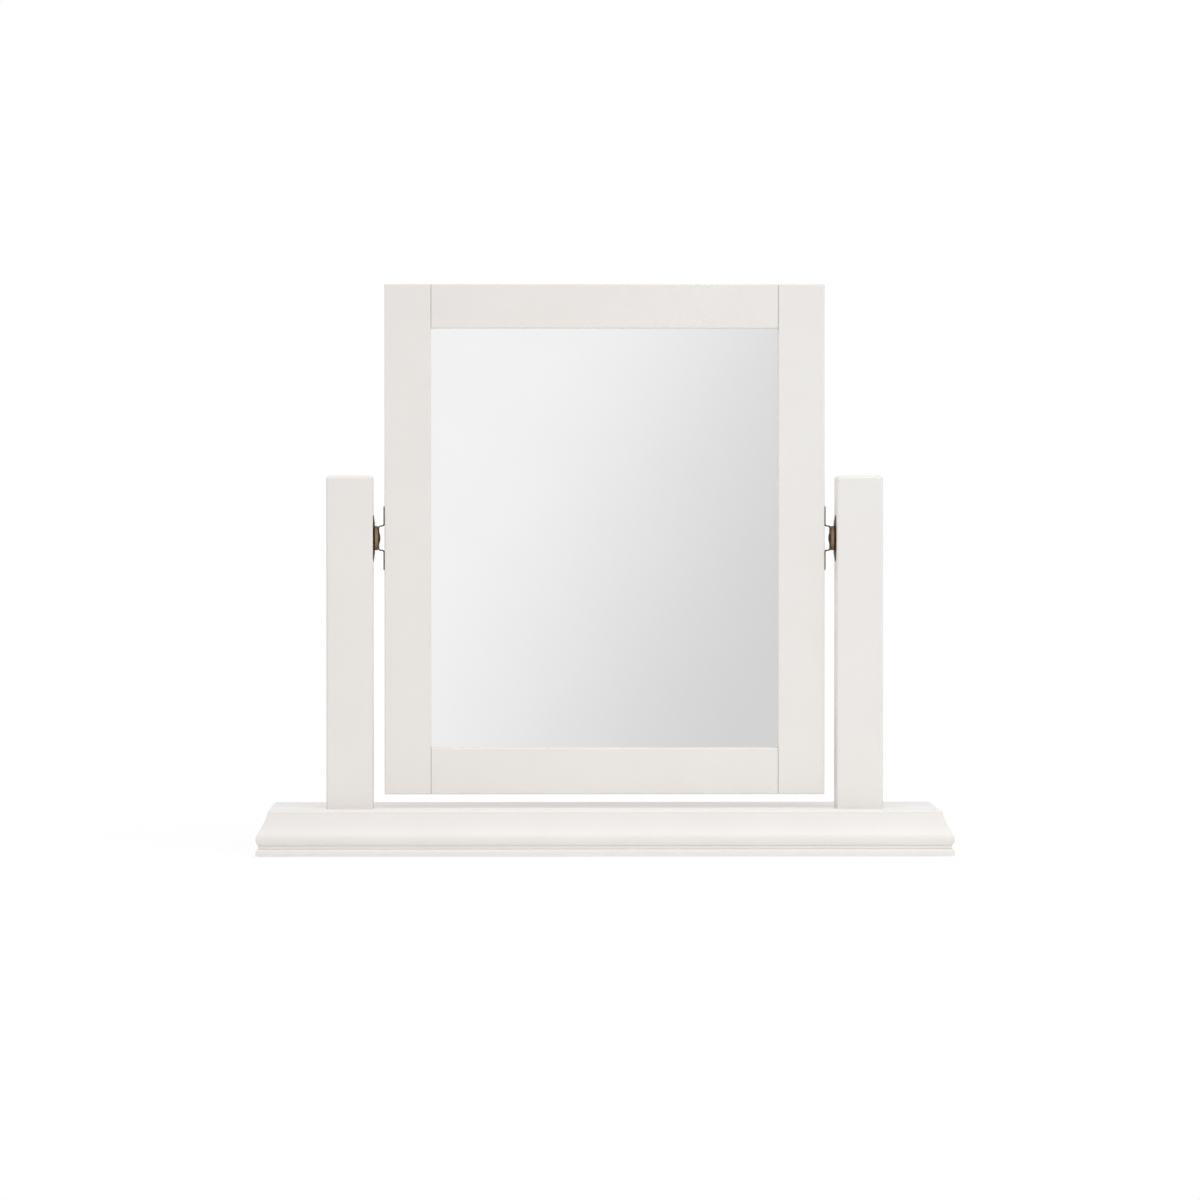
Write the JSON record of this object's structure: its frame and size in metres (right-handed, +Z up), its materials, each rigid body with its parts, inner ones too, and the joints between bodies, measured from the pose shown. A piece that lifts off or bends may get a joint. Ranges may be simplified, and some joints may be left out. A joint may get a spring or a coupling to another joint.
{
  "type": "table mirror",
  "caption": "Free-standing dressing-table mirror: a painted wooden frame that tilts between two posts on a moulded base.",
  "frame": {"origin": "on the table, under the middle of the base", "axes": "+X to the viewer's right, -Y to the front that the glass faces, +Z up"},
  "size_m": [0.6, 0.142, 0.4925],
  "materials": {
    "painted_wood": "off-white satin paint",
    "raw_pine": "planed, unfinished",
    "beech": "turned, unfinished",
    "hardboard": "smooth face, unfinished",
    "silvered_glass": "silvered and polished",
    "bronzed_steel": "antique bronze, satin",
    "zinc_plated_steel": "bright zinc",
    "spring_steel": "blued",
    "brown_fibre": "pressed fibre",
    "felt": "pressed felt"
  },
  "bodies": {
    "stand": {"felt_pads": "felt", "base_plate": "painted_wood", "base_plate_screws": "zinc_plated_steel", "front_moulding": "painted_wood", "left_moulding": "painted_wood", "right_moulding": "painted_wood", "back_rail": "painted_wood", "corner_blocks": "raw_pine", "top_board": "painted_wood", "left_post": "painted_wood", "right_post": "painted_wood", "post_dowels": "beech", "post_screws": "zinc_plated_steel", "left_post_plate": "bronzed_steel", "right_post_plate": "bronzed_steel", "post_plate_screws": "bronzed_steel", "left_friction_disc": "brown_fibre", "right_friction_disc": "brown_fibre", "left_spring_washer": "spring_steel", "right_spring_washer": "spring_steel"},
    "mirror": {"left_stile": "painted_wood", "right_stile": "painted_wood", "top_rail": "painted_wood", "bottom_rail": "painted_wood", "frame_dowels": "beech", "mirror_glass": "silvered_glass", "back_panel": "hardboard", "back_panel_screws": "zinc_plated_steel", "left_frame_strap": "bronzed_steel", "right_frame_strap": "bronzed_steel", "strap_screws": "bronzed_steel", "left_pivot_rivet": "bronzed_steel", "right_pivot_rivet": "bronzed_steel"}
  },
  "joints": [
    {"name": "mirror_tilt", "type": "hinge", "parent": "stand", "child": "mirror", "pos_m": [0, -0.023, 0.27325], "axis": [1, 0, 0], "continuous": true}
  ]
}
